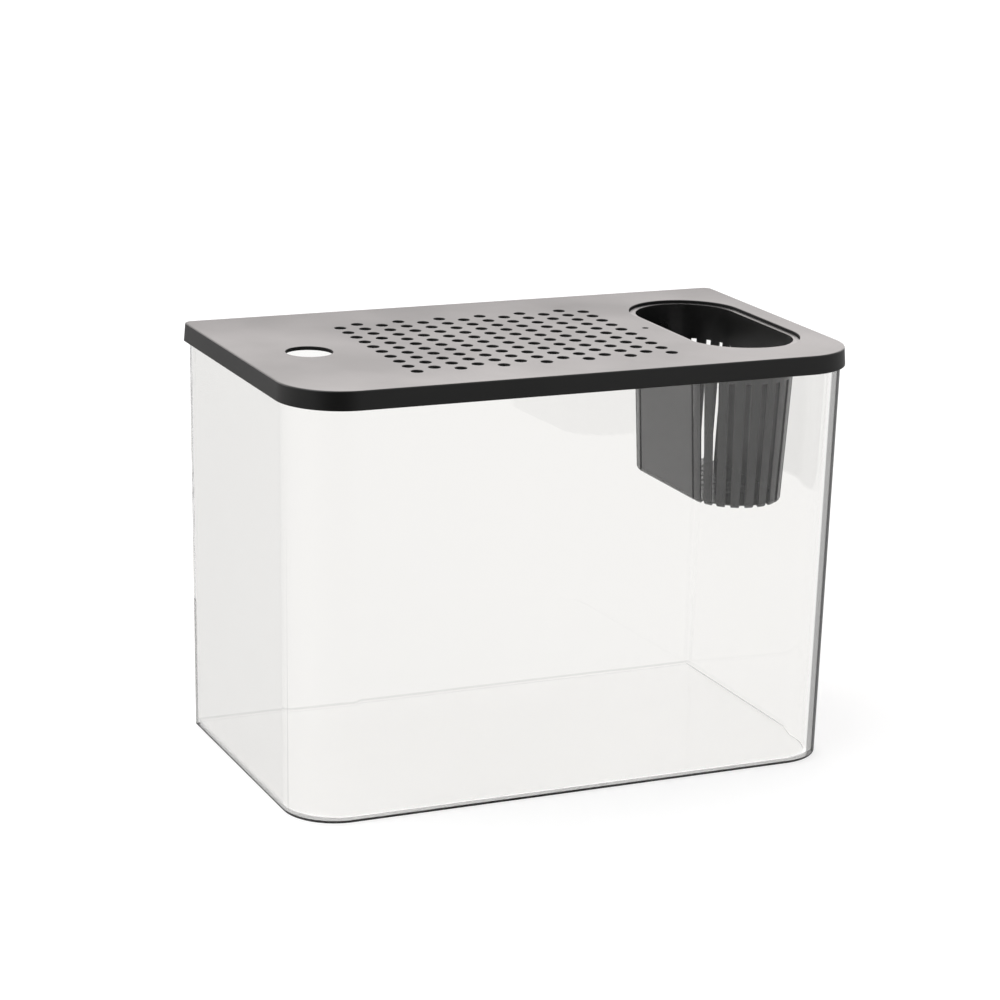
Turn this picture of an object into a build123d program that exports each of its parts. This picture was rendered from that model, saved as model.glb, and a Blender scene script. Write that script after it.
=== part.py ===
"""A clear moulded pet tank with a vented lid and a slotted planting basket hung in it.

Millimetres. The origin is on the table under the middle of the lid's outline, +X runs along
the tank's length towards the basket, the front is at -Y, and +Z is up.
"""

import math
import os

from build123d import *

os.makedirs("parts", exist_ok=True)

# Overall size
length = 316.0
depth = 180.0
height = 225.0

# Lid: a flat plate with a band that hangs over the tank's rim and flares towards its foot
lid_plate = 2.0
lid_band_height = 9.8
lid_band_wall = 2.0
lid_band_draft = 4.5
lid_front_radius = 33.0
lid_rear_radius = 5.5
lid_edge_chamfer = 0.5

# Running gap between the lid's band and the tank's rim
rim_gap = 0.4

# Tank: drafted walls, large corners in front and nearly square ones at the back
tank_wall = 3.0
tank_floor = 2.4
tank_draft = 0.8
rim_rear_radius = 5.4
floor_rear_radius = 1.5
foot_chamfer = 1.0
floor_corner_chamfer = 1.2
rim_chamfer = 0.4

# Vent field in the lid: columns of round holes, every second column shifted by half a
# pitch; each hole is drawn with a few flat sides to keep the lid's mesh small. The middle
# of the field stands vent_shift to the left of midway between the port and the basket
vent_diameter = 6.0
vent_sides = 8
vent_pitch = 11.85
vent_columns = 13
vent_rows = 10
vent_shift = 9.6
vent_centre_y = -2.0

# Round port in the lid for a tube or a cable, set in from the lid's left end
port_diameter = 24.5
port_inset = 39.0

# Basket mouth, set in from the lid's right end, long way across the tank
basket_inset = 44.6
mouth_width = 56.2
mouth_length = 118.0
basket_wall = 1.2
basket_height = 87.3
basket_draft = 3.0
basket_floor = 1.5
basket_foot_chamfer = 0.9
flange_width = 3.3
flange_thickness = 1.6
flange_drop = 1.4

# Seat for the basket in the lid
seat_gap = 0.3
throat_gap = 0.5
seat_ledge = 1.8
seat_wall = 1.8

# Upright slots round both ends of the basket, and drain slots in its floor
end_slots = 11
slot_width = 3.0
slot_notch = 2.0
collar_height = 19.1
drain_slots = 7
drain_pitch = 9.0
drain_width = 3.0
drain_length = 26.0

# Sizes that follow from those above
rim_height = height - lid_plate
rim_inset = lid_band_wall + rim_gap
rim_length = length - 2 * rim_inset
rim_depth = depth - 2 * rim_inset
rim_front_radius = lid_front_radius - rim_inset
wall_lean = (rim_height - tank_floor) * math.tan(math.radians(tank_draft))
inner_rear_radius = floor_rear_radius + wall_lean

port_x = port_inset - length / 2
basket_x = length / 2 - basket_inset
vent_centre_x = (port_x + basket_x) / 2 - vent_shift

flange_top = height - flange_drop
seat_height = flange_top - flange_thickness
basket_foot = flange_top - basket_height
seat_width = mouth_width + 2 * (flange_width + seat_gap)
seat_length = mouth_length + 2 * (flange_width + seat_gap)
throat_width = mouth_width + 2 * (basket_wall + throat_gap)
throat_length = mouth_length + 2 * (basket_wall + throat_gap)
end_centre_y = (mouth_length - mouth_width) / 2
foot_end_radius = mouth_width / 2 + basket_wall - basket_height * math.tan(math.radians(basket_draft))


def tank_outline(outline_length, outline_depth, front_radius, rear_radius):
    """A rectangle with its own corner radii in front and at the back."""
    Rectangle(outline_length, outline_depth)
    fillet(vertices().group_by(Axis.Y)[0], front_radius)
    fillet(vertices().group_by(Axis.Y)[-1], rear_radius)


def basket_outline(width, outline_length):
    """A slot shape with round ends, long way across the tank, round the basket's centre."""
    with Locations((basket_x, 0)):
        SlotOverall(outline_length, width, rotation=90)


# Tank
with BuildPart() as tank:
    with BuildSketch(Plane.XY.offset(rim_height)):
        tank_outline(rim_length, rim_depth, rim_front_radius, rim_rear_radius)
    extrude(amount=-rim_height, taper=tank_draft)
    chamfer(faces().sort_by(Axis.Z)[0].edges(), foot_chamfer)
    with BuildSketch(Plane.XY.offset(rim_height)):
        tank_outline(
            rim_length - 2 * tank_wall,
            rim_depth - 2 * tank_wall,
            rim_front_radius - tank_wall,
            inner_rear_radius,
        )
    extrude(amount=-(rim_height - tank_floor), taper=tank_draft, mode=Mode.SUBTRACT)
    chamfer(faces().filter_by(Plane.XY).sort_by(Axis.Z)[1].edges(), floor_corner_chamfer)
    chamfer(faces().sort_by(Axis.Z)[-1].edges(), rim_chamfer)

# Lid
with BuildPart() as lid:
    band_foot = height - lid_band_height
    with BuildSketch(Plane.XY.offset(band_foot)):
        tank_outline(length, depth, lid_front_radius, lid_rear_radius)
    extrude(amount=lid_band_height, taper=lid_band_draft)
    chamfer(faces().sort_by(Axis.Z)[-1].edges(), lid_edge_chamfer)
    with BuildSketch(Plane.XY.offset(band_foot)):
        tank_outline(
            length - 2 * lid_band_wall,
            depth - 2 * lid_band_wall,
            lid_front_radius - lid_band_wall,
            lid_rear_radius - lid_band_wall,
        )
    extrude(amount=lid_band_height - lid_plate, mode=Mode.SUBTRACT)
    # The basket's seat is a stepped collar, lower than the plate
    with BuildSketch(Plane.XY.offset(seat_height - seat_ledge)):
        basket_outline(seat_width + 2 * seat_wall, seat_length + 2 * seat_wall)
    extrude(amount=rim_height - seat_height + seat_ledge)
    with BuildSketch(Plane.XY.offset(seat_height)):
        basket_outline(seat_width, seat_length)
    extrude(amount=height - seat_height, mode=Mode.SUBTRACT)
    with BuildSketch(Plane.XY.offset(seat_height - seat_ledge)):
        basket_outline(throat_width, throat_length)
    extrude(amount=seat_ledge, mode=Mode.SUBTRACT)
    # The vent field and the port go through the plate
    with BuildSketch(Plane.XY.offset(rim_height)):
        for column in range(vent_columns):
            x = vent_centre_x + (column - (vent_columns - 1) / 2) * vent_pitch
            shift = vent_pitch / 4 if column % 2 else -vent_pitch / 4
            with Locations((x, vent_centre_y + shift)):
                with GridLocations(vent_pitch, vent_pitch, 1, vent_rows):
                    RegularPolygon(vent_diameter / 2, vent_sides)
        with Locations((port_x, 0)):
            Circle(port_diameter / 2)
    extrude(amount=lid_plate, mode=Mode.SUBTRACT)

# Planting basket
with BuildPart() as planting_basket:
    with BuildSketch(Plane.XY.offset(flange_top)):
        basket_outline(mouth_width + 2 * basket_wall, mouth_length + 2 * basket_wall)
    extrude(amount=-basket_height, taper=basket_draft)
    chamfer(faces().sort_by(Axis.Z)[0].edges(), basket_foot_chamfer)
    with BuildSketch(Plane.XY.offset(seat_height)):
        basket_outline(mouth_width + 2 * flange_width, mouth_length + 2 * flange_width)
    extrude(amount=flange_thickness)
    with BuildSketch(Plane.XY.offset(flange_top)):
        basket_outline(mouth_width, mouth_length)
    extrude(amount=-(basket_height - basket_floor), taper=basket_draft, mode=Mode.SUBTRACT)
    # Each end is a row of upright bars between slots that also notch the floor's edge
    slot_inner_radius = foot_end_radius - slot_notch
    slot_reach = mouth_width / 2 + flange_width - slot_inner_radius
    with BuildSketch(Plane.XY.offset(basket_foot)):
        for side in (-1, 1):
            with Locations((basket_x, side * end_centre_y)):
                with PolarLocations(
                    slot_inner_radius + slot_reach / 2,
                    end_slots,
                    start_angle=0,
                    angular_range=side * 180,
                    endpoint=True,
                ):
                    Rectangle(slot_reach, slot_width)
    extrude(amount=basket_height - collar_height, mode=Mode.SUBTRACT)
    with BuildSketch(Plane.XY.offset(basket_foot)):
        with Locations((basket_x, 0)):
            with GridLocations(drain_pitch, drain_pitch, 1, drain_slots):
                Rectangle(drain_length, drain_width)
    extrude(amount=basket_floor, mode=Mode.SUBTRACT)

for name, piece in (("tank", tank), ("lid", lid), ("planting_basket", planting_basket)):
    piece.part.label = name
    export_step(piece.part, f"parts/{name}.step")
    box = piece.part.bounding_box()
    print(name, "solids", len(piece.part.solids()), "size", box.size, "from", box.min)
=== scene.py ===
# %% [markdown]
# # Dressing a clear pet tank
# The object is a moulded clear tank with a black lid. The lid has a field of round vents,
# a round port and a seat for a slotted basket. The CAD model gives every size and place.
# This notebook loads it as a fixed frame, swaps each plain solid for a smooth surface of
# the same size, and gives each one the plastic that the real object is made of.

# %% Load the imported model
import math

import bmesh
import bpy
import numpy as np
from mathutils import Matrix, Vector
from mathutils.geometry import delaunay_2d_cdt


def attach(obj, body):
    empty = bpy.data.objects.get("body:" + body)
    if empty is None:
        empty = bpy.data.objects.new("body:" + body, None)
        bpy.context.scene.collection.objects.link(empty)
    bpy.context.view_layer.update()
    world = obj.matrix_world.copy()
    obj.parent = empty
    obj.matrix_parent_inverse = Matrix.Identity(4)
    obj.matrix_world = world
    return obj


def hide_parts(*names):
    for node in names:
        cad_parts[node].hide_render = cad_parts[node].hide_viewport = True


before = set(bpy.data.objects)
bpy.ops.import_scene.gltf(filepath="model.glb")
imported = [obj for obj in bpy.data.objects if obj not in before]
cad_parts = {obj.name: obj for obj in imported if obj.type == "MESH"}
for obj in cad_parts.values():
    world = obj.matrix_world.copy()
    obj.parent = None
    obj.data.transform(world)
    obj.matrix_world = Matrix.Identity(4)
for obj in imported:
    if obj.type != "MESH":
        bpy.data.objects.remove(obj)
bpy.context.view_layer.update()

# %% [markdown]
# ## The camera
# The lens is long and looks down a little from the front left. Its place was solved from
# the straight edges of the lid and the tank, whose real sizes are known. It is written as
# a turn, a tilt and a roll about a target, because those can be read and changed by hand.

# %% Place the camera
turn, tilt, roll = math.radians(-24.29), math.radians(15.32), math.radians(1.46)
distance = 1.6304
target = Vector((0, 0, 0.1125))
slide_right, slide_up = -0.00870, 0.02258

back = Vector((math.sin(turn) * math.cos(tilt), -math.cos(turn) * math.cos(tilt), math.sin(tilt)))
level_right = Vector((math.cos(turn), math.sin(turn), 0))
level_up = back.cross(level_right)
right = level_right * math.cos(roll) + level_up * math.sin(roll)
up = level_up * math.cos(roll) - level_right * math.sin(roll)

camera_data = bpy.data.cameras.new("camera")
camera_data.sensor_width = 36
camera_data.lens = 109.65
camera_data.clip_end = 100
camera = bpy.data.objects.new("camera", camera_data)
turned = Matrix((right, up, back)).transposed().to_4x4()
place = target + right * slide_right + up * slide_up + back * distance
camera.matrix_world = Matrix.Translation(place) @ turned
bpy.context.scene.collection.objects.link(camera)
bpy.context.scene.camera = camera
bpy.context.scene.view_settings.view_transform = "Standard"
print("camera at", place)

# %% [markdown]
# Light that enters a clear wall on edge is mirrored inside it dozens of times before it
# gets out. With the usual limit of four mirrorings such places come out black, so the
# limits on a light path are raised. Few pixels need that many steps, so it costs little.

# %% Lengthen the light paths
PATH_STEPS = 120
paths = bpy.context.scene.cycles
paths.max_bounces = PATH_STEPS
paths.glossy_bounces = PATH_STEPS
paths.transmission_bounces = PATH_STEPS
print("light paths up to", PATH_STEPS, "steps")

# %% [markdown]
# ## From arrays to meshes
# Every surface below is a grid of points worked out with numpy. Where two surfaces meet
# they share the same ring of points, so welding by place closes the seam. Sizes are in
# millimetres until the mesh is made, which keeps the numbers easy to check by eye.

# %% Grid faces, welding and the mesh maker
MM = 0.001


def grid_faces(rows, columns):
    """Four-sided faces of a closed grid: (i, j), (i, j+1), (i+1, j+1), (i+1, j), row by row."""
    row, column = np.meshgrid(np.arange(rows - 1), np.arange(columns), indexing="ij")
    here = row * columns + column
    beside = row * columns + (column + 1) % columns
    return np.stack([here, beside, beside + columns, here + columns], axis=-1).reshape(-1, 4)


def lifted(rings, heights):
    """Grid of points in which ring i lies flat at height i."""
    level = np.broadcast_to(np.asarray(heights, float)[:, None, None], rings.shape[:2] + (1,))
    return np.concatenate([rings, level], axis=-1)


def carried(rings, heights):
    """Surface made by carrying a profile round: ring i lies flat at height i."""
    return lifted(rings, heights).reshape(-1, 3), [grid_faces(*rings.shape[:2])]


def fan(ring, height):
    """Flat triangles from a ring to its middle point."""
    count = len(ring)
    points = np.column_stack([np.vstack([ring, ring.mean(axis=0)]), np.full(count + 1, height)])
    here = np.arange(count)
    return points, [np.stack([here, (here + 1) % count, np.full(count, count)], axis=-1)]


def weld(surfaces, step=1e-4):
    """Stacks surfaces and joins points whose places, rounded to the step, are the same."""
    starts = np.cumsum([0] + [len(points) for points, faces in surfaces])
    stacked = np.concatenate([points for points, faces in surfaces])
    keys = np.round(stacked / step).astype(np.int64)
    _, first, joined = np.unique(keys, axis=0, return_index=True, return_inverse=True)
    joined = joined.reshape(-1)
    faces = []
    for start, (points, groups) in zip(starts, surfaces):
        for group in groups:
            faces += joined[group + start].tolist()
    return stacked[first], faces


def make_piece(name, surfaces, node, smooth_under=50):
    """Welds the surfaces into one closed mesh, faces outwards, and rides it on the node's body.

    Edges that turn by less than smooth_under degrees are shaded smooth.
    """
    points, faces = weld(surfaces)
    mesh = bpy.data.meshes.new(name)
    mesh.from_pydata((points * MM).tolist(), [], faces)
    work = bmesh.new()
    work.from_mesh(mesh)
    bmesh.ops.recalc_face_normals(work, faces=work.faces[:])
    loose = [edge for edge in work.edges if len(edge.link_faces) != 2]
    work.to_mesh(mesh)
    work.free()
    mesh.shade_smooth()
    mesh.set_sharp_from_angle(angle=math.radians(smooth_under))
    piece = bpy.data.objects.new(name, mesh)
    bpy.context.scene.collection.objects.link(piece)
    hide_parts(node)
    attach(piece, node)
    print(name, "points", len(points), "faces", len(faces), "open edges", len(loose))
    return piece


# %% [markdown]
# ## The outline that tank and lid share
# Seen from above the tank is a rectangle with two large corners in front and two small
# ones behind. A ring that is set in by some distance keeps the corner centres and only
# shortens the radii, so one function gives every level of the tank and of the lid. A few
# points close to each corner keep the shading of the flat sides flat.

# %% Rings of the outline
CORNER_STEPS, SHARPEST = 28, 0.3
SIDE_PLACES = np.array([0.004, 0.03, 0.14, 0.26, 0.38, 0.5, 0.62, 0.74, 0.86, 0.97, 0.996])


def outline_rings(half_length, half_depth, front_radius, rear_radius, inset):
    """One ring per inset. Corner centre = sides - inset - r, point = centre + r (cos a, sin a).

    r = radius - inset, and never under 0.3. The straight sides run between the arcs' ends.
    The steps a = 45 - 45 cos(t) are small where an arc meets a side, so no crease shows.
    """
    inset = np.asarray(inset, float)[:, None]
    radius = np.array([front_radius, rear_radius, rear_radius, front_radius])
    r = np.maximum(radius - inset, SHARPEST)
    side_x, side_y = np.array([1, 1, -1, -1]), np.array([-1, 1, 1, -1])
    centre = np.stack(
        [side_x * (half_length - inset - r), side_y * (half_depth - inset - r)], axis=-1
    )
    sweep = 45 - 45 * np.cos(np.linspace(0, np.pi, CORNER_STEPS + 1))
    angle = np.radians(np.array([-90, 0, 90, 180])[:, None] + sweep)
    unit = np.stack([np.cos(angle), np.sin(angle)], axis=-1)
    arc = centre[:, :, None] + r[:, :, None, None] * unit
    end = arc[:, :, -1:]
    start = np.roll(arc[:, :, :1], -1, axis=1)
    side = end + SIDE_PLACES[:, None] * (start - end)
    return np.concatenate([arc, side], axis=2).reshape(len(inset), -1, 2)


def rounding(inset, height, radius, start, end, steps=5):
    """Profile points of a rounded edge: (inset + r cos a, height + r sin a) from start to end."""
    angle = np.radians(np.linspace(start, end, steps + 1))
    return np.stack([inset + radius * np.cos(angle), height + radius * np.sin(angle)], axis=-1)


print("points in one ring", outline_rings(2, 1, 0.5, 0.5, [0]).shape[1])

# %% [markdown]
# ## The clear tank
# The real tank is one thin injection moulding. What makes it look real is the second
# surface: light bends where it enters and where it leaves, so the walls need an inside as
# well as an outside. The profile runs from the middle of the underside, round the foot,
# up the drafted wall, over the rounded rim, down inside and across the floor.

# %% Tank sizes
TANK_HALF_LENGTH, TANK_HALF_DEPTH = 155.6, 87.6
TANK_FRONT_RADIUS, TANK_REAR_RADIUS = 30.6, 5.4
INNER_FRONT_RADIUS, INNER_REAR_RADIUS = 33.6, 7.6
TANK_WALL, TANK_FLOOR, TANK_RIM = 3.0, 2.4, 223.0
FOOT_ROUND, RIM_ROUND, FLOOR_ROUND = 1.2, 0.45, 0.8
TANK_SLOPE = math.tan(math.radians(0.8))


def wall_inset(height, start=0.0):
    """How far the drafted wall stands in from the rim's outline: start + (rim - z) tan(draft)."""
    return start + (TANK_RIM - height) * TANK_SLOPE


print("the wall leans in by", round(wall_inset(0.0), 2), "mm at the foot")

# %% [markdown]
# Beside each rounded edge the profile has a narrow flat strip. It takes up the turn of the
# shading, so that none of it spills over the large flat face next to it.

# %% Tank profile
EDGE_STRIP, LAST_LEVEL, RIM_SET_IN = 1.2, 221.4, 0.01
outer_levels = np.concatenate([[2.2], np.linspace(8, 216, 27), [LAST_LEVEL]])
foot_inset = wall_inset(FOOT_ROUND)
outer_path = np.vstack([
    [[foot_inset + FOOT_ROUND + EDGE_STRIP, 0.0]],
    rounding(foot_inset + FOOT_ROUND, FOOT_ROUND, FOOT_ROUND, 270, 180),
    np.stack([wall_inset(outer_levels), outer_levels], axis=-1),
    rounding(RIM_ROUND + RIM_SET_IN, TANK_RIM - RIM_ROUND, RIM_ROUND, 180, 90),
])
floor_level = TANK_FLOOR + FLOOR_ROUND
inner_levels = np.concatenate([[LAST_LEVEL], np.linspace(216, 12, 52), [6.2]])
inner_inset = wall_inset(floor_level, TANK_WALL)
inner_path = np.vstack([
    rounding(TANK_WALL - RIM_ROUND, TANK_RIM - RIM_ROUND, RIM_ROUND, 90, 0),
    np.stack([wall_inset(inner_levels, TANK_WALL), inner_levels], axis=-1),
    rounding(inner_inset + FLOOR_ROUND, floor_level, FLOOR_ROUND, 180, 270),
    [[inner_inset + FLOOR_ROUND + EDGE_STRIP, TANK_FLOOR]],
])
print("tank profile points", len(outer_path), "outside and", len(inner_path), "inside")

# %% [markdown]
# A moulded wall is never perfectly even, so the inside waves by a few hundredths of a
# millimetre, most near the corners, where the plastic cooled last.

# %% Wave of the inner wall
WAVE_ON_SIDES, WAVE_AT_CORNERS = 0.03, 0.15


def inner_wave(rings, heights):
    """Moves inner points along the line to the axis by a few sines of height and place.

    shift = size x fade(z) x (sin(z/23 + s/31) + sin(z/11 - s/17)) / 2, s = x + 1.7 y.
    The size is 0.03 mm, and 0.15 mm more at the corners, where (x/152)^8 (y/84)^8 is near 1.
    """
    z = np.asarray(heights, float)[:, None]
    x, y = rings[..., 0], rings[..., 1]
    s = x + 1.7 * y
    fade = np.clip((z - 8) / 20, 0, 1) * np.clip((214 - z) / 20, 0, 1)
    size = WAVE_ON_SIDES + WAVE_AT_CORNERS * (x / 152) ** 8 * (y / 84) ** 8
    shift = size * fade * (np.sin(z / 23 + s / 31) + np.sin(z / 11 - s / 17)) / 2
    inward = -rings / np.linalg.norm(rings, axis=-1, keepdims=True)
    return rings + shift[..., None] * inward


# %% Tank surface
outer_rings = outline_rings(
    TANK_HALF_LENGTH, TANK_HALF_DEPTH, TANK_FRONT_RADIUS, TANK_REAR_RADIUS, outer_path[:, 0]
)
even_rings = outline_rings(
    TANK_HALF_LENGTH, TANK_HALF_DEPTH, INNER_FRONT_RADIUS, INNER_REAR_RADIUS, inner_path[:, 0]
)
inner_rings = inner_wave(even_rings, inner_path[:, 1])
rim_rings = np.stack([outer_rings[-1], inner_rings[0]])
clear_tank = make_piece(
    "clear_tank",
    [
        fan(outer_rings[0], outer_path[0, 1]),
        carried(outer_rings, outer_path[:, 1]),
        carried(rim_rings, [TANK_RIM, TANK_RIM]),
        carried(inner_rings, inner_path[:, 1]),
        fan(inner_rings[-1], inner_path[-1, 1]),
    ],
    "tank",
)

# %% [markdown]
# ## The vented lid
# The lid is a flat plate with holes, so most of it has no shape to compute: what the eye
# reads is the small rounded lip of every hole and edge. Each lip is a profile carried
# round its hole. The flat parts between the lips are then filled by a constrained
# triangulation, which keeps every lip's ring of points. A boolean would also cut the
# holes, but its long thin faces shade badly once the edges are rounded.

# %% Flat fill between rings


def inside_ring(points, ring):
    """True for points left of every side of a convex ring that runs anticlockwise."""
    side = np.roll(ring, -1, axis=0) - ring
    away = points[:, None] - ring[None]
    return np.all(side[:, 0] * away[..., 1] - side[:, 1] * away[..., 0] > 0, axis=1)


def flat_fill(outer, holes, height):
    """Flat triangles between an outer ring and the rings of its holes."""
    rings = [outer, *holes]
    points = np.concatenate(rings)
    ends = np.cumsum([0] + [len(ring) for ring in rings])
    edges = np.concatenate([
        np.stack([np.arange(a, b), np.roll(np.arange(a, b), -1)], axis=-1)
        for a, b in zip(ends[:-1], ends[1:])
    ])
    made = delaunay_2d_cdt([Vector(p) for p in points.tolist()], edges.tolist(), [], 0, 1e-6)
    origin = np.array([ids[0] for ids in made[3]])
    triangles = origin[np.array(made[2])]
    middle = points[triangles].mean(axis=1)
    keep = np.ones(len(middle), bool)
    for hole in holes:
        keep &= ~inside_ring(middle, hole)
    solid = np.column_stack([points, np.full(len(points), height)])
    return solid, [triangles[keep]]


# %% [markdown]
# The band round the lid hangs over the tank's rim and flares towards its foot, so that
# the mould lets go. Its profile starts under the plate, goes down inside the band, round
# its foot, up outside and over the soft top edge onto the plate.

# %% Lid sizes and band
LID_TOP, PLATE_UNDER, BAND_FOOT = 225.0, 223.0, 215.2
LID_HALF_LENGTH, LID_HALF_DEPTH = 158.0, 90.0
LID_FRONT_RADIUS, LID_REAR_RADIUS = 33.0, 5.5
BAND_WALL, LID_EDGE_ROUND = 2.0, 0.7
UNDER_ROUND, BAND_FOOT_ROUND = 0.5, 0.3
BAND_SLOPE = math.tan(math.radians(4.5))

band_levels = np.array([215.7, 216.2, 219.5, 223.2, 224.0])
top_inset = (LID_TOP - LID_EDGE_ROUND - BAND_FOOT) * BAND_SLOPE
foot_height = BAND_FOOT + BAND_FOOT_ROUND
band_path = np.vstack([
    [[BAND_WALL + EDGE_STRIP, PLATE_UNDER]],
    rounding(BAND_WALL + UNDER_ROUND, PLATE_UNDER - UNDER_ROUND, UNDER_ROUND, 90, 180, 3),
    [[BAND_WALL, BAND_FOOT + 0.7]],
    rounding(BAND_WALL - BAND_FOOT_ROUND, foot_height, BAND_FOOT_ROUND, 0, -90, 3),
    rounding(BAND_FOOT_ROUND + 0.05, foot_height, BAND_FOOT_ROUND, 270, 180, 3),
    np.stack([(band_levels - BAND_FOOT) * BAND_SLOPE + 0.02, band_levels], axis=-1),
    rounding(top_inset + LID_EDGE_ROUND, LID_TOP - LID_EDGE_ROUND, LID_EDGE_ROUND, 176, 90, 6),
    [[top_inset + LID_EDGE_ROUND + 0.6, LID_TOP]],
])
band_rings = outline_rings(
    LID_HALF_LENGTH, LID_HALF_DEPTH, LID_FRONT_RADIUS, LID_REAR_RADIUS, band_path[:, 0]
)
print("band profile points", len(band_path))

# %% [markdown]
# The 130 vents stand in thirteen columns, every second one moved by half a pitch. All of
# them are one array: a small profile of lip and wall, times a circle, times the list of
# centres. The CAD model's vents are 6.0 mm wide, and VENT_OPENED makes each of them 0.2 mm
# wider all round, because the near lip shows lighter here than on the real lid and would
# leave too little dark in each hole. The port is the same shape, larger, and the gate mark
# is a shallow dimple where the plastic entered the mould.

# %% Vents
VENT_RADIUS, VENT_OPENED, VENT_PITCH = 3.0, 0.2, 11.85
VENT_COLUMNS, VENT_ROWS, VENT_SIDES = 13, 10, 16
VENT_CENTRE = (-12.4, -2.0)
PLATE_THICKNESS = LID_TOP - PLATE_UNDER


def vent_centres():
    """x = middle + (column - 6) pitch, y = middle + (row - 4.5) pitch -+ a quarter pitch."""
    column, row = np.meshgrid(np.arange(VENT_COLUMNS), np.arange(VENT_ROWS), indexing="ij")
    x = VENT_CENTRE[0] + (column - (VENT_COLUMNS - 1) / 2) * VENT_PITCH
    step = np.where(column % 2 == 1, VENT_PITCH / 4, -VENT_PITCH / 4)
    y = VENT_CENTRE[1] + (row - (VENT_ROWS - 1) / 2) * VENT_PITCH + step
    return np.stack([x.ravel(), y.ravel()], axis=-1)


def round_rings(centre, radii, steps):
    """Rings centre + r (cos a, sin a), anticlockwise, one per radius."""
    angle = np.linspace(0, 2 * np.pi, steps, endpoint=False)
    unit = np.stack([np.cos(angle), np.sin(angle)], axis=-1)
    return np.asarray(centre) + np.asarray(radii, float)[:, None, None] * unit


vent_path = np.array([[0.62, 0], [0.4, 0], [0.12, -0.1], [0.0, -0.36], [0.0, -PLATE_THICKNESS]])
vents = [
    round_rings(centre, VENT_RADIUS + VENT_OPENED + vent_path[:, 0], VENT_SIDES)
    for centre in vent_centres()
]
print("vents", len(vents), "first at", vent_centres()[0])

# %% Port and gate mark
PORT_CENTRE, PORT_RADIUS, PORT_SIDES = (-119.0, 0.0), 12.25, 64
PORT_LIP, PORT_FOOT = 0.28, 0.2
GATE_CENTRE, GATE_SIDES = (72.4, -0.25), 20

port_path = np.vstack([
    [[0.6, 0]],
    rounding(PORT_LIP, -PORT_LIP, PORT_LIP, 90, 180, 4),
    rounding(PORT_FOOT, PORT_FOOT - PLATE_THICKNESS, PORT_FOOT, 180, 270, 3),
    [[0.6, -PLATE_THICKNESS]],
])
port_rings = round_rings(PORT_CENTRE, PORT_RADIUS + port_path[:, 0], PORT_SIDES)
gate_path = np.array([[2.2, 0], [1.9, 0], [1.5, -0.35], [1.1, -0.7], [0.5, -0.7]])
gate_rings = round_rings(GATE_CENTRE, gate_path[:, 0], GATE_SIDES)
print("port profile points", len(port_path), "gate mark points", len(gate_path))

# %% [markdown]
# The basket drops into a stepped collar: a shallow recess, a ledge that takes the
# basket's flange, and a throat below it. Its outline is two half circles joined by
# straight sides, and again one profile is carried round it.

# %% Seat collar
BASKET_X, END_CENTRE, SIDE_STRIP = 113.4, 30.9, 0.5
SEAT_HALF, THROAT_HALF, COLLAR_HALF = 31.7, 29.8, 33.5
SEAT_LEVEL, COLLAR_FOOT = 222.0, 220.2
SEAT_LIP, LEDGE_ROUND, COLLAR_FILLET = 0.55, 0.2, 0.4


def stadium_rings(radii, steps=36):
    """Rings of two half circles about y = +-30.9 joined by straight sides, anticlockwise."""
    radii = np.asarray(radii, float)[:, None]
    half = np.radians(np.linspace(0, 180, steps + 1))
    end = np.stack([radii * np.cos(half), END_CENTRE + radii * np.sin(half)], axis=-1)
    place = np.linspace(END_CENTRE, -END_CENTRE, 9)[1:-1]
    place = np.concatenate([[END_CENTRE - SIDE_STRIP], place, [SIDE_STRIP - END_CENTRE]])
    side = np.stack(np.broadcast_arrays(-radii, place), axis=-1)
    ring = np.concatenate([end, side], axis=1)
    return np.concatenate([ring, -ring], axis=1) + [BASKET_X, 0]


throat_edge, collar_edge = THROAT_HALF + LEDGE_ROUND, COLLAR_HALF - LEDGE_ROUND
foot_edge = COLLAR_FOOT + LEDGE_ROUND
collar_path = np.vstack([
    [[SEAT_HALF + 2 * SEAT_LIP, LID_TOP]],
    rounding(SEAT_HALF + SEAT_LIP, LID_TOP - SEAT_LIP, SEAT_LIP, 90, 180),
    [[SEAT_HALF, SEAT_LEVEL + 0.6]],
    rounding(SEAT_HALF - LEDGE_ROUND, SEAT_LEVEL + LEDGE_ROUND, LEDGE_ROUND, 0, -90, 2),
    rounding(throat_edge, SEAT_LEVEL - LEDGE_ROUND, LEDGE_ROUND, 90, 180, 2),
    rounding(throat_edge, foot_edge, LEDGE_ROUND, 180, 270, 2),
    rounding(collar_edge, foot_edge, LEDGE_ROUND, 270, 360, 2),
    rounding(COLLAR_HALF + COLLAR_FILLET, PLATE_UNDER - COLLAR_FILLET, COLLAR_FILLET, 180, 90, 3),
    [[COLLAR_HALF + 0.9, PLATE_UNDER]],
])
collar_rings = stadium_rings(collar_path[:, 0])
print("collar profile points", len(collar_path))

# %% Lid surface
gate_levels = LID_TOP + gate_path[:, 1]
lid_surfaces = [
    carried(band_rings, band_path[:, 1]),
    carried(port_rings, LID_TOP + port_path[:, 1]),
    carried(gate_rings, gate_levels),
    fan(gate_rings[-1], gate_levels[-1]),
    carried(collar_rings, collar_path[:, 1]),
]
lid_surfaces += [carried(rings, LID_TOP + vent_path[:, 1]) for rings in vents]
top_holes = [port_rings[0], gate_rings[0], collar_rings[0], *[rings[0] for rings in vents]]
under_holes = [port_rings[-1], collar_rings[-1], *[rings[-1] for rings in vents]]
lid_surfaces.append(flat_fill(band_rings[-1], top_holes, LID_TOP))
lid_surfaces.append(flat_fill(band_rings[0], under_holes, PLATE_UNDER))
vented_lid = make_piece("vented_lid", lid_surfaces, "lid")

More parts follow.
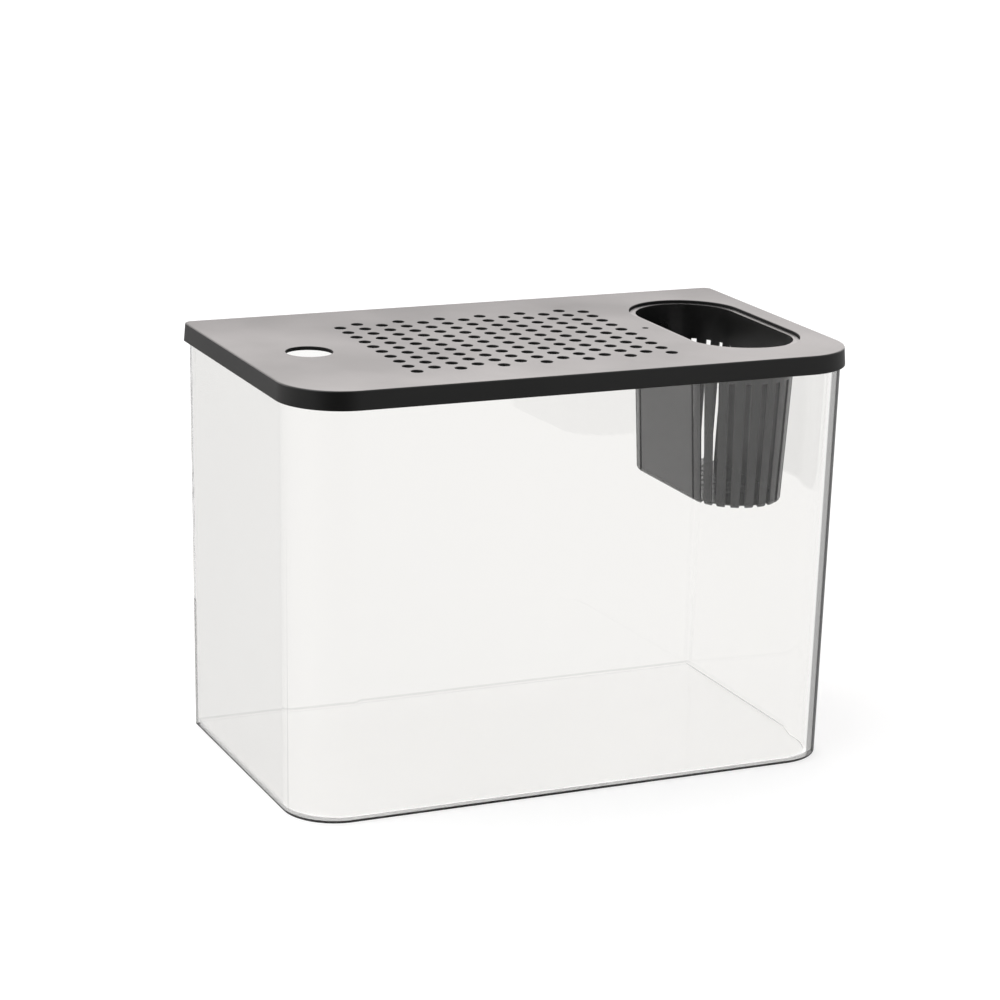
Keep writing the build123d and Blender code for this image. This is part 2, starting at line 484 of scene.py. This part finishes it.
# %% [markdown]
# ## The slotted basket
# The basket's wall is two grids of points, one outside and one inside, whose columns
# follow the edges of the slots. Cells that lie in a slot are left out, and every edge
# that this leaves open is closed by a strip from the outside grid to the inside grid.
# The slots have parallel sides, so on a round end their half angle grows as the wall
# narrows: it is the arc sine of half the slot width over the radius. The slots next to
# the flat sides are narrower, and those of the rear end stand a little askew to the
# front ones, which is why the light that falls through both tapers to a point.

# %% Basket outline with slots
SLOTS_PER_END, SLOT_HALF, SLOT_TURN = 11, 1.5, 18
NARROW_SLOT = 0.7
REAR_SHIFT = math.radians(-1.5)


def slot_columns():
    """Angle = a + b asin(1.5 / r) for each column of one end, and whether its cell is a slot."""
    turns, leans, open_cells = [], [], []
    width = np.ones(SLOTS_PER_END + 1)
    width[[0, SLOTS_PER_END - 1]] = NARROW_SLOT
    for k in range(SLOTS_PER_END):
        first = math.radians(SLOT_TURN * k)
        across = np.linspace(-1, 1, 3) * width[k]
        turns.append(np.full(len(across), first)[:-1])
        leans.append(across[:-1])
        open_cells.append(np.ones(len(across) - 1, bool))
        along = np.linspace(0, 1, 5)[: -1 if k < SLOTS_PER_END - 1 else 1]
        turns.append(first + along * math.radians(SLOT_TURN))
        leans.append(width[k] * (1 - along) - width[k + 1] * along)
        open_cells.append(np.zeros(len(along), bool))
    return np.concatenate(turns), np.concatenate(leans), np.concatenate(open_cells)


def slotted_rings(radii):
    """Basket outlines, one per radius, with columns on the slots' edges."""
    radii = np.asarray(radii, float)[:, None]
    turns, leans, _ = slot_columns()

    def end(shift):
        angle = turns + shift + leans * np.arcsin(SLOT_HALF / radii)
        across = radii * np.cos(np.clip(angle, 0, np.pi))
        return np.stack([across, END_CENTRE + radii * np.sin(angle)], axis=-1)

    reach = END_CENTRE - SLOT_HALF
    place = np.concatenate([[reach - 1.2], np.linspace(reach - 4, 4 - reach, 9), [1.2 - reach]])
    side = np.stack(np.broadcast_arrays(-radii, place), axis=-1)
    ring = np.concatenate([end(REAR_SHIFT), side, -end(0.0), -side], axis=1)
    return ring + [BASKET_X, 0], len(place)


print("columns of one end", len(slot_columns()[0]))

# %% Basket profiles
MOUTH_HALF, CUP_WALL, FLANGE_HALF = 28.1, 1.2, 31.4
FLANGE_TOP, FLANGE_UNDER = 223.6, 222.0
CUP_FOOT, CUP_FLOOR, FOOT_CHAMFER = 136.3, 137.8, 0.9
SLOT_TOP, SLOT_END = 204.5, 22.2
GUTTER_END, GUTTER_DEPTH = 17.5, 0.7
CUP_SLOPE = math.tan(math.radians(3.0))


def cup_radius(height, start):
    """Half width of the tapered cup: start - (flange top - z) tan(3 degrees)."""
    return start - (FLANGE_TOP - height) * CUP_SLOPE


cup_levels = np.array([220.5, 214.0, 207.0, SLOT_TOP, 203.5, 190, 175, 160, 148, 139.5])
outer_start, inner_start = MOUTH_HALF + CUP_WALL, MOUTH_HALF
foot_radius = cup_radius(CUP_FOOT + FOOT_CHAMFER, outer_start)
floor_radius = cup_radius(CUP_FLOOR, inner_start)
outer_cup = np.vstack([
    [[FLANGE_HALF, FLANGE_UNDER], [cup_radius(FLANGE_UNDER, outer_start), FLANGE_UNDER]],
    np.stack([cup_radius(cup_levels, outer_start), cup_levels], axis=-1),
    [[foot_radius, CUP_FOOT + FOOT_CHAMFER], [foot_radius - FOOT_CHAMFER, CUP_FOOT]],
    [[SLOT_END, CUP_FOOT + GUTTER_DEPTH], [GUTTER_END + 1, CUP_FOOT + GUTTER_DEPTH]],
    [[GUTTER_END, CUP_FOOT]],
])
inner_cup = np.vstack([
    [[FLANGE_HALF, FLANGE_TOP], [MOUTH_HALF, FLANGE_TOP]],
    np.stack([cup_radius(cup_levels, inner_start), cup_levels], axis=-1),
    [[floor_radius, CUP_FLOOR], [floor_radius - 0.3, CUP_FLOOR]],
    [[SLOT_END, CUP_FLOOR], [GUTTER_END + 1, CUP_FLOOR], [GUTTER_END, CUP_FLOOR]],
])
print("basket rows", len(outer_cup), len(inner_cup))

# %% Slotted wall and drain slots
DRAIN_PLACES, DRAIN_PITCH = range(-3, 4), 9.0
DRAIN_HALF_LENGTH, DRAIN_HALF_WIDTH = 13.0, 1.5


def slotted_shell(outer, inner, keep):
    """Closed wall between two closed grids, with cells left out where keep is False.

    Strips close each edge between a kept and a missing cell and the first row's edge.
    The last row stays open, for the floor.
    """
    rows, columns = outer.shape[:2]
    points = np.concatenate([outer.reshape(-1, 3), inner.reshape(-1, 3)])
    under = rows * columns
    cells = grid_faces(rows, columns)[keep.ravel()]
    row, column = np.nonzero(keep != np.roll(keep, 1, axis=1))
    a = row * columns + column
    upright = np.stack([a, a + columns, a + columns + under, a + under], axis=-1)
    lined = np.vstack([np.zeros((1, columns), bool), keep])
    row, column = np.nonzero(lined[:-1] != lined[1:])
    a = row * columns + column
    b = row * columns + (column + 1) % columns
    level = np.stack([a, b, b + under, a + under], axis=-1)
    return points, [cells, cells[:, ::-1] + under, upright, level]


def slot_ring(centre, half_length, half_width, steps=6):
    """A drain slot's outline: two half circles joined by straight sides, anticlockwise."""
    half = np.radians(np.linspace(-90, 90, steps + 1))
    across = half_length - half_width + half_width * np.cos(half)
    end = np.stack([across, half_width * np.sin(half)], axis=-1)
    return np.concatenate([end, -end]) + centre


drains = [
    slot_ring((BASKET_X, DRAIN_PITCH * k), DRAIN_HALF_LENGTH, DRAIN_HALF_WIDTH)
    for k in DRAIN_PLACES
]
print("drain slots", len(drains))

# %% Basket surface
outer_outlines, side_count = slotted_rings(outer_cup[:, 0])
inner_outlines, _ = slotted_rings(inner_cup[:, 0])
outer_grid = lifted(outer_outlines, outer_cup[:, 1])
inner_grid = lifted(inner_outlines, inner_cup[:, 1])
half_open = np.concatenate([slot_columns()[2], np.zeros(side_count, bool)])
in_slot = np.concatenate([half_open, half_open])
slot_first = int(np.argmin(np.abs(outer_cup[:, 1] - SLOT_TOP)))
slot_rows = np.zeros(len(outer_cup) - 1, bool)
slot_rows[slot_first:-2] = True
keep_cells = ~(slot_rows[:, None] & in_slot[None, :])
basket_surfaces = [
    slotted_shell(outer_grid, inner_grid, keep_cells),
    flat_fill(outer_outlines[-1], drains, CUP_FOOT),
    flat_fill(inner_outlines[-1], drains, CUP_FLOOR),
]
basket_surfaces += [carried(np.stack([d, d]), [CUP_FOOT, CUP_FLOOR]) for d in drains]
slotted_basket = make_piece(
    "slotted_basket", basket_surfaces, "planting_basket", 35
)

# %% [markdown]
# Moulded edges are never knife sharp. A Bevel modifier rounds every edge of the basket
# that turns by more than 40 degrees, which is quicker than adding rows to both grids.

# %% Soften the basket's edges
soften = slotted_basket.modifiers.new("soft edges", "BEVEL")
soften.width = 0.15 * MM
soften.segments = 2
soften.limit_method = "ANGLE"
soften.angle_limit = math.radians(40)
soften.harden_normals = True
print("edges rounded by", soften.width, "m")

# %% [markdown]
# ## Plastics
# All three pieces are moulded plastic, but each shows it in its own way. The lid and the
# basket are black with a satin skin: seen along the surface they mirror the bright studio
# and look grey, seen square on they are nearly black. The tank is clear, with real
# thickness, very slight waves from the mould and a little haze. The helpers below make
# the same few kinds of node again and again, so each finish reads as a short recipe.

# %% Material helpers
MIX_SOCKETS = {"FLOAT": (0, 2, 3, 0), "RGBA": (0, 6, 7, 2)}


def new_material(name):
    """A material with an empty Principled shader, its node tree and that shader."""
    material = bpy.data.materials.new(name)
    material.use_nodes = True
    return material, material.node_tree, material.node_tree.nodes["Principled BSDF"]


def add_node(tree, kind, **settings):
    """A node of that kind, whose sockets or settings are given by name."""
    node = tree.nodes.new(kind)
    for name, value in settings.items():
        socket = node.inputs.get(name.replace("_", " "))
        if socket is not None:
            socket.default_value = value
        else:
            setattr(node, name, value)
    return node


def plug(tree, value, socket):
    """Gives a socket a number or colour, or links another socket to it."""
    if isinstance(value, (int, float, tuple)):
        socket.default_value = value
    else:
        tree.links.new(value, socket)


def math_node(tree, operation, first, second=0.0):
    """A Math node whose two inputs are sockets or plain numbers."""
    node = add_node(tree, "ShaderNodeMath", operation=operation)
    plug(tree, first, node.inputs[0])
    plug(tree, second, node.inputs[1])
    return node.outputs[0]


def product(tree, first, *others):
    """The product of two or more sockets or numbers."""
    for other in others:
        first = math_node(tree, "MULTIPLY", first, other)
    return first


def ranged(tree, value, low, high, start=0.0, end=1.0):
    """Maps a value from start..end to low..high."""
    node = add_node(tree, "ShaderNodeMapRange")
    for name, number in zip(("From Min", "From Max", "To Min", "To Max"), (start, end, low, high)):
        node.inputs[name].default_value = number
    tree.links.new(value, node.inputs["Value"])
    return node.outputs["Result"]


def mixed(tree, kind, share, first, second):
    """Goes from the first number or colour to the second as the share goes from 0 to 1."""
    node = add_node(tree, "ShaderNodeMix", data_type=kind)
    *inputs, result = MIX_SOCKETS[kind]
    for place, value in zip(inputs, (share, first, second)):
        plug(tree, value, node.inputs[place])
    return node.outputs[result]


def combined(tree, kind, *parts):
    """A Mix Shader or an Add Shader node with its inputs linked in order."""
    node = tree.nodes.new(kind)
    for place, part in enumerate(parts):
        tree.links.new(part, node.inputs[place])
    return node.outputs[0]


def scaled(tree, colour, share):
    """A colour times a number."""
    node = add_node(tree, "ShaderNodeVectorMath", operation="SCALE")
    tree.links.new(colour, node.inputs[0])
    tree.links.new(share, node.inputs["Scale"])
    return node.outputs[0]


# %% Places, noise, bump and kinds of ray


def coordinate(tree, kind="Object"):
    """X, Y and Z of the place on the object in metres, or of another texture coordinate."""
    place = tree.nodes.new("ShaderNodeTexCoord")
    split = tree.nodes.new("ShaderNodeSeparateXYZ")
    tree.links.new(place.outputs[kind], split.inputs[0])
    return split.outputs


def object_noise(tree, scale, detail, stretch=(1, 1, 1)):
    """Noise on the object's own coordinates, stretched by a Mapping node."""
    place = tree.nodes.new("ShaderNodeTexCoord")
    mapping = add_node(tree, "ShaderNodeMapping", Scale=stretch)
    noise = add_node(tree, "ShaderNodeTexNoise", Scale=scale, Detail=detail)
    tree.links.new(place.outputs["Object"], mapping.inputs["Vector"])
    tree.links.new(mapping.outputs["Vector"], noise.inputs["Vector"])
    return noise.outputs["Fac"]


def bump_by(tree, height, shader, strength, distance):
    """Bumps a shader's surface by a height from 0 to 1 that stands for a distance in metres."""
    bump = add_node(tree, "ShaderNodeBump", Strength=strength, Distance=distance)
    tree.links.new(height, bump.inputs["Height"])
    tree.links.new(bump.outputs["Normal"], shader.inputs["Normal"])


def light_path(tree, kind):
    """1 for rays of the kind that this output of Light Path names, otherwise 0."""
    return tree.nodes.new("ShaderNodeLightPath").outputs[kind]


# %% [markdown]
# The black plastic has two noises. A very fine one bumps the skin as the mould's grain
# does, and a coarse one changes its roughness and colour a little. The walls of the lid's
# holes are rougher than its skin, a guess at a surface that the mould's pins leave
# unpolished. Their colour is also darkened, as painted shade that gives the near-black
# holes of the real lid. The basket is smoother from its floor downwards, where it mirrors
# what is below it.

# %% Satin black plastic
CLOUD_SIZE, GRAIN_SIZE, GRAIN_STRENGTH = 14, 1600, 0.35
NOISE_LOW, NOISE_HIGH = 0.3, 0.7
DEEPER, PALER = 0.85, 1.2
POLISHED, POLISH_FADE = 0.13, 0.4 * MM
# Hole walls: rougher, and darkened to a fifth of the skin's colour as painted shade.
HOLE_ROUGH, HOLE_PAINTED_SHADE = 0.95, 0.2
HOLE_REACH_X, HOLE_REACH_Y = 147 * MM, 66 * MM


# This mask roughens the hole walls and darkens their colour as painted shade.
def hole_walls_rough_and_painted_shade(tree):
    """1 on the walls of vents, port and seat: between the plate's faces and in from its band."""
    place = coordinate(tree)
    over = ranged(tree, place["Z"], 0, 1, 223.05 * MM, 223.2 * MM)
    under = ranged(tree, place["Z"], 1, 0, 224.75 * MM, 224.95 * MM)
    within_x = math_node(tree, "LESS_THAN", math_node(tree, "ABSOLUTE", place["X"]), HOLE_REACH_X)
    within_y = math_node(tree, "LESS_THAN", math_node(tree, "ABSOLUTE", place["Y"]), HOLE_REACH_Y)
    return product(tree, over, under, within_x, within_y)


def satin_plastic(
    name, colour, rough, grain_depth, bending, tilted=0.0, smooth_below=0.0, with_holes=False
):
    """Black moulded plastic: fine spark-eroded grain, faint clouds of roughness and of colour.

    Roughness grows from front to back by twice the value tilted, and is low below a height.
    """
    material, tree, shader = new_material(name)
    shader.inputs["IOR"].default_value = bending
    clouds = object_noise(tree, CLOUD_SIZE, 3)
    share = ranged(tree, clouds, 0, 1, NOISE_LOW, NOISE_HIGH)
    deep, pale = ((*[c * change for c in colour], 1) for change in (DEEPER, PALER))
    skin = mixed(tree, "RGBA", share, deep, pale)
    cloudy = ranged(tree, clouds, rough - 0.03, rough + 0.04, NOISE_LOW, NOISE_HIGH)
    place = coordinate(tree)
    finer = ranged(tree, place["Y"], -tilted, tilted, -90 * MM, 90 * MM)
    smooth = ranged(tree, place["Z"], POLISHED, 1.0, smooth_below, smooth_below + POLISH_FADE)
    level = math_node(tree, "MINIMUM", math_node(tree, "ADD", cloudy, finer), smooth)
    if with_holes:
        walls = hole_walls_rough_and_painted_shade(tree)
        # Painted shade: the hole walls' colour is darkened, standing in for the shade inside the
        # holes.
        skin = scaled(tree, skin, ranged(tree, walls, 1.0, HOLE_PAINTED_SHADE))
        level = math_node(tree, "MAXIMUM", level, product(tree, walls, HOLE_ROUGH))
    tree.links.new(skin, shader.inputs["Base Color"])
    tree.links.new(level, shader.inputs["Roughness"])
    bump_by(tree, object_noise(tree, GRAIN_SIZE, 2), shader, GRAIN_STRENGTH, grain_depth)
    return material


lid_black = satin_plastic(
    "lid satin black",
    colour=(0.0138, 0.0138, 0.0133),
    rough=0.34,
    grain_depth=0.02 * MM,
    bending=1.5,
    tilted=0.045,
    with_holes=True,
)
basket_black = satin_plastic(
    "basket satin black",
    colour=(0.009, 0.009, 0.009),
    rough=0.3,
    grain_depth=0.003 * MM,
    bending=1.63,
    smooth_below=138.2 * MM,
)
vented_lid.data.materials.append(lid_black)
slotted_basket.data.materials.append(basket_black)
print("finishes", lid_black.name, "and", basket_black.name)

# %% [markdown]
# Clear plastic shows its edges as dark lines, because light that enters there is led away
# inside the wall. Here those lines are painted shade: three masks darken the tint in those
# places. One is a low ring round the foot. One is the part of each front corner that turns
# away from the eye: the product of the normal's x and y is only large on a corner, and
# Layer Weight gives how far the surface turns away. The third paints a grey line on the
# rounded edge between the floor and the rear wall, where the real tank shows a soft grey line.

# %% Painted shade where clear plastic looks dark


# Painted shade: a dark ring round the tank's foot.
def painted_dark_foot_ring(tree):
    """1 outside up to 1.6 mm, fading to 0 at 1.9 mm, and 0 on the underside and from within."""
    height = coordinate(tree)["Z"]
    low = ranged(tree, height, 1, 0, 1.6 * MM, 1.9 * MM)
    off_floor = ranged(tree, height, 0, 1, 0.02 * MM, 0.08 * MM)
    side = tree.nodes.new("ShaderNodeNewGeometry")
    outside = math_node(tree, "SUBTRACT", 1.0, side.outputs["Backfacing"])
    return product(tree, low, off_floor, outside)


def outer_side(tree):
    """1 on the outside of the tank, where place and normal point the same way, 0 inside."""
    place = tree.nodes.new("ShaderNodeTexCoord")
    along = add_node(tree, "ShaderNodeVectorMath", operation="DOT_PRODUCT")
    tree.links.new(place.outputs["Object"], along.inputs[0])
    tree.links.new(place.outputs["Normal"], along.inputs[1])
    return math_node(tree, "GREATER_THAN", along.outputs["Value"], 0.0)


# Painted shade: darkens the front corners where they turn away from the eye.
def painted_dark_corner_turn(tree):
    """How far a front corner turns away from the eye: 0 on every flat wall, up to 1."""
    normal = coordinate(tree, "Normal")
    turning = math_node(tree, "ABSOLUTE", product(tree, normal["X"], normal["Y"]))
    corner = ranged(tree, turning, 0, 1, 0.12, 0.2)
    in_front = ranged(tree, coordinate(tree)["Y"], 1.0, 0.0, 0.0, 10 * MM)
    facing = add_node(tree, "ShaderNodeLayerWeight", Blend=0.5).outputs["Facing"]
    return product(tree, corner, in_front, facing, outer_side(tree))


# Painted shade: a grey line on the rounded edge between floor and rear wall.
def painted_grey_rear_floor_edge(tree):
    """1 on the rounded edge inside between floor and rear wall, from 2.5 to 3.4 mm up."""
    place = coordinate(tree)
    above = ranged(tree, place["Z"], 0, 1, 2.45 * MM, 2.55 * MM)
    below = ranged(tree, place["Z"], 1, 0, 3.3 * MM, 3.5 * MM)
    rear = ranged(tree, place["Y"], 0, 1, 80.2 * MM, 80.4 * MM)
    inside = math_node(tree, "SUBTRACT", 1.0, outer_side(tree))
    return product(tree, above, below, rear, inside)


# %% [markdown]
# The clear plastic itself is full transmission through real thickness. A coarse noise
# gives the haze, and a stretched one bends what is seen through the wall a little. The
# underside is frosted, so the floor under it looks even. Such a wall would stop every
# shadow ray and darken the floor, so shadow rays meet a Transparent shader instead.

# %% Clear plastic
# GREY and DARK are painted shade, the tints of the clear plastic's darkened edges.
CLEAR, GREY, DARK = 0.965, 0.2, 0.004
TINT_AND_PAINTED_EDGE_STOPS = [(0.0, CLEAR), (0.49, CLEAR), (0.52, GREY), (0.655, GREY), (0.7, DARK), (1.0, DARK)]
YELLOWED = (1, 0.995, 0.985)
FLOOR_EDGE_PAINTED_SHADE, HAZE, FROST = 0.79, 0.03, 0.5
WAVE_SIZE, WAVE_STRENGTH, WAVE_DEPTH = 12, 0.1, 0.2 * MM
LET_THROUGH = (0.88, 0.88, 0.88, 1)


def clear_plastic(name):
    """Clear moulded plastic: full transmission, faint haze and waves that bend what is behind."""
    material, tree, shader = new_material(name)
    shader.inputs["Transmission Weight"].default_value = 1.0
    shader.inputs["IOR"].default_value = 1.49
    tint = add_node(tree, "ShaderNodeValToRGB")
    ramp = tint.color_ramp.elements
    while len(ramp) < len(TINT_AND_PAINTED_EDGE_STOPS):
        ramp.new(0.5)
    for element, (position, level) in zip(ramp, TINT_AND_PAINTED_EDGE_STOPS):
        element.position = position
        element.color = (*[level * part for part in YELLOWED], 1)
    # Painted shade: dark lines at the foot and front corners and a grey line at the rear floor
    # edge stand in for light led away inside the wall.
    dark = math_node(tree, "MAXIMUM", painted_dark_corner_turn(tree), painted_dark_foot_ring(tree))
    tree.links.new(dark, tint.inputs[0])
    shade = ranged(tree, painted_grey_rear_floor_edge(tree), 1.0, FLOOR_EDGE_PAINTED_SHADE)
    tree.links.new(scaled(tree, tint.outputs[0], shade), shader.inputs["Base Color"])
    haze = ranged(tree, object_noise(tree, 30, 4), 0.0, HAZE, 0.35, 0.75)
    frost = ranged(tree, coordinate(tree)["Z"], FROST, 0.0, 0.005 * MM, 0.015 * MM)
    tree.links.new(math_node(tree, "MAXIMUM", haze, frost), shader.inputs["Roughness"])
    waves = object_noise(tree, WAVE_SIZE, 1, (1, 1, 0.35))
    bump_by(tree, waves, shader, WAVE_STRENGTH, WAVE_DEPTH)
    straight = add_node(tree, "ShaderNodeBsdfTransparent", Color=LET_THROUGH)
    shadow = light_path(tree, "Is Shadow Ray")
    either = combined(tree, "ShaderNodeMixShader", shadow, shader.outputs[0], straight.outputs[0])
    tree.links.new(either, tree.nodes["Material Output"].inputs["Surface"])
    return material


clear_tank.data.materials.append(clear_plastic("clear moulded plastic"))
print("finish of the tank", clear_tank.data.materials[0].name)

# %% [markdown]
# ## Floor and backdrop
# The floor is one plain sheet that looks different to different rays. The camera sees it
# white, like the paper of a product photograph, and it takes the object's shadow. A ray
# that has passed through the clear plastic sees it glow almost evenly, with a painted pool
# of light, a little brighter, under the tank. A mirrored ray sees no shadow, only a glow
# that is dark in front and bright behind. All other rays meet a plain grey floor, so it
# doesn't flood the black plastic with light from below.

# %% Floor sheet
FLOOR_HALF, FLOOR_LEVEL = 14.0, -0.0003
floor_mesh = bpy.data.meshes.new("floor")
corners = [(-1, -1), (1, -1), (1, 1), (-1, 1)]
floor_mesh.from_pydata(
    [(x * FLOOR_HALF, y * FLOOR_HALF, FLOOR_LEVEL) for x, y in corners], [], [(0, 1, 2, 3)]
)
floor = bpy.data.objects.new("floor", floor_mesh)
bpy.context.scene.collection.objects.link(floor)
print("floor", 2 * FLOOR_HALF, "m wide")

# %% Levels by ray and by direction
DARK_FRONT = (-0.41, -0.91, 0)


def seen_directly(tree):
    """1 for rays from the camera or out of clear plastic, otherwise 0."""
    camera_ray = light_path(tree, "Is Camera Ray")
    return math_node(tree, "MAXIMUM", camera_ray, light_path(tree, "Is Transmission Ray"))


def toward_front(tree, kind, around, ahead, behind):
    """Level by direction: around, ahead towards the dark front left, and behind straight back.

    The direction is the coordinate of that kind without its height, at unit length, and
    its dot product with the dark front is 1 towards the front left and -1 behind.
    """
    place = tree.nodes.new("ShaderNodeTexCoord")
    flat = add_node(tree, "ShaderNodeVectorMath", operation="MULTIPLY")
    flat.inputs[1].default_value = (1, 1, 0)
    tree.links.new(place.outputs[kind], flat.inputs[0])
    unit = add_node(tree, "ShaderNodeVectorMath", operation="NORMALIZE")
    tree.links.new(flat.outputs[0], unit.inputs[0])
    along = add_node(tree, "ShaderNodeVectorMath", operation="DOT_PRODUCT")
    along.inputs[1].default_value = DARK_FRONT
    tree.links.new(unit.outputs[0], along.inputs[0])
    front = ranged(tree, along.outputs["Value"], around, ahead, 0.75, 1.0)
    far = ranged(tree, along.outputs["Value"], behind - around, 0.0, -0.96, -0.84)
    return math_node(tree, "ADD", front, far)


# %% Floor finish
MIRRORED_AROUND, MIRRORED_AHEAD, MIRRORED_BEHIND = 0.32, 0.012, 0.95
PLAIN_GREY = 0.42
PAPER_COLOUR, PAPER_GLOW = 0.5, 0.58
# The floor's higher glow under the tank, for rays out of the clear plastic, is a painted pool of
# light.
THROUGH_COLOUR, PAINTED_GLOW_UNDER_TANK, THROUGH_AWAY = 0.03, 1.26, 0.97
FOOT_HALF_X, FOOT_HALF_Y, FOOT_FADE = 0.156, 0.088, 0.96

floor_material, tree, shader = new_material("floor")
tree.nodes.remove(shader)
mirrored = light_path(tree, "Is Glossy Ray")
through = light_path(tree, "Is Transmission Ray")

grey = tree.nodes.new("ShaderNodeBsdfDiffuse")
tree.links.new(ranged(tree, mirrored, PLAIN_GREY, 0.0), grey.inputs["Color"])
glow = tree.nodes.new("ShaderNodeEmission")
glow_level = toward_front(tree, "Object", MIRRORED_AROUND, MIRRORED_AHEAD, MIRRORED_BEHIND)
tree.links.new(product(tree, glow_level, mirrored), glow.inputs["Strength"])
unseen = combined(tree, "ShaderNodeAddShader", grey.outputs[0], glow.outputs[0])

paper = tree.nodes.new("ShaderNodeBsdfDiffuse")
tree.links.new(ranged(tree, through, PAPER_COLOUR, THROUGH_COLOUR), paper.inputs["Color"])
place = coordinate(tree)
# Painted light: rays out of the clear plastic see the floor glow brighter under the tank's foot.
away_x = math_node(tree, "ABSOLUTE", math_node(tree, "DIVIDE", place["X"], FOOT_HALF_X))
away_y = math_node(tree, "ABSOLUTE", math_node(tree, "DIVIDE", place["Y"], FOOT_HALF_Y))
away = math_node(tree, "MAXIMUM", away_x, away_y)
through_glow_with_painted_pool = ranged(tree, away, PAINTED_GLOW_UNDER_TANK, THROUGH_AWAY, FOOT_FADE, 1.0)
lift = tree.nodes.new("ShaderNodeEmission")
tree.links.new(mixed(tree, "FLOAT", through, PAPER_GLOW, through_glow_with_painted_pool), lift.inputs["Strength"])
seen = combined(tree, "ShaderNodeAddShader", paper.outputs[0], lift.outputs[0])

surface = combined(tree, "ShaderNodeMixShader", seen_directly(tree), unseen, seen)
tree.links.new(surface, tree.nodes["Material Output"].inputs["Surface"])
floor_mesh.materials.append(floor_material)
print("floor finish", floor_material.name)

# %% [markdown]
# ## Light
# A plain studio. The camera sees white, and so does a ray out of the clear plastic. A
# mirrored ray sees a bright, slightly warm patch behind the object, which fades out
# between 27 and 58 degrees up. Its image lies along the lid as a grey sheen. The rest of
# the room is plain, and darker towards the front left, as a dark card there would make it.
# One very wide sun lamp from above gives the soft shadow at the foot.

# %% World
ROOM_AROUND, ROOM_AHEAD, ROOM_BEHIND = 0.58, 0.02, 0.58
PATCH_LEVEL, PATCH_COLOUR = 2.4, (1, 0.952, 0.94, 1)
WHITE = (1, 1, 1, 1)

world = bpy.data.worlds.new("studio")
bpy.context.scene.world = world
world.use_nodes = True
tree = world.node_tree
tree.nodes.clear()
direction = coordinate(tree, "Generated")
behind = ranged(tree, direction["Y"], 0.0, 1.0, 0.1, 0.8)
not_overhead = ranged(tree, direction["Z"], 1.0, 0.0, 0.45, 0.85)
patch = product(tree, behind, not_overhead)
room = toward_front(tree, "Generated", ROOM_AROUND, ROOM_AHEAD, ROOM_BEHIND)
lit_room = mixed(tree, "FLOAT", patch, room, PATCH_LEVEL)
direct = seen_directly(tree)
strength = mixed(tree, "FLOAT", direct, lit_room, 1.0)
warmth = product(tree, patch, math_node(tree, "SUBTRACT", 1.0, direct))
colour = mixed(tree, "RGBA", warmth, WHITE, PATCH_COLOUR)
backdrop = add_node(tree, "ShaderNodeBackground")
tree.links.new(colour, backdrop.inputs["Color"])
tree.links.new(strength, backdrop.inputs["Strength"])
world_output = add_node(tree, "ShaderNodeOutputWorld")
tree.links.new(backdrop.outputs[0], world_output.inputs["Surface"])
print("world", world.name, "nodes", len(tree.nodes))

# %% Lamp
lamp_data = bpy.data.lights.new("soft lamp", "SUN")
lamp_data.angle = math.radians(50)
lamp_data.energy = 1.6
lamp = bpy.data.objects.new("soft lamp", lamp_data)
lamp_from = Vector((-0.45, -0.05, 1.0))
lamp.rotation_euler = lamp_from.to_track_quat("Z", "Y").to_euler()
bpy.context.scene.collection.objects.link(lamp)
print("lamp shines from", lamp_from)
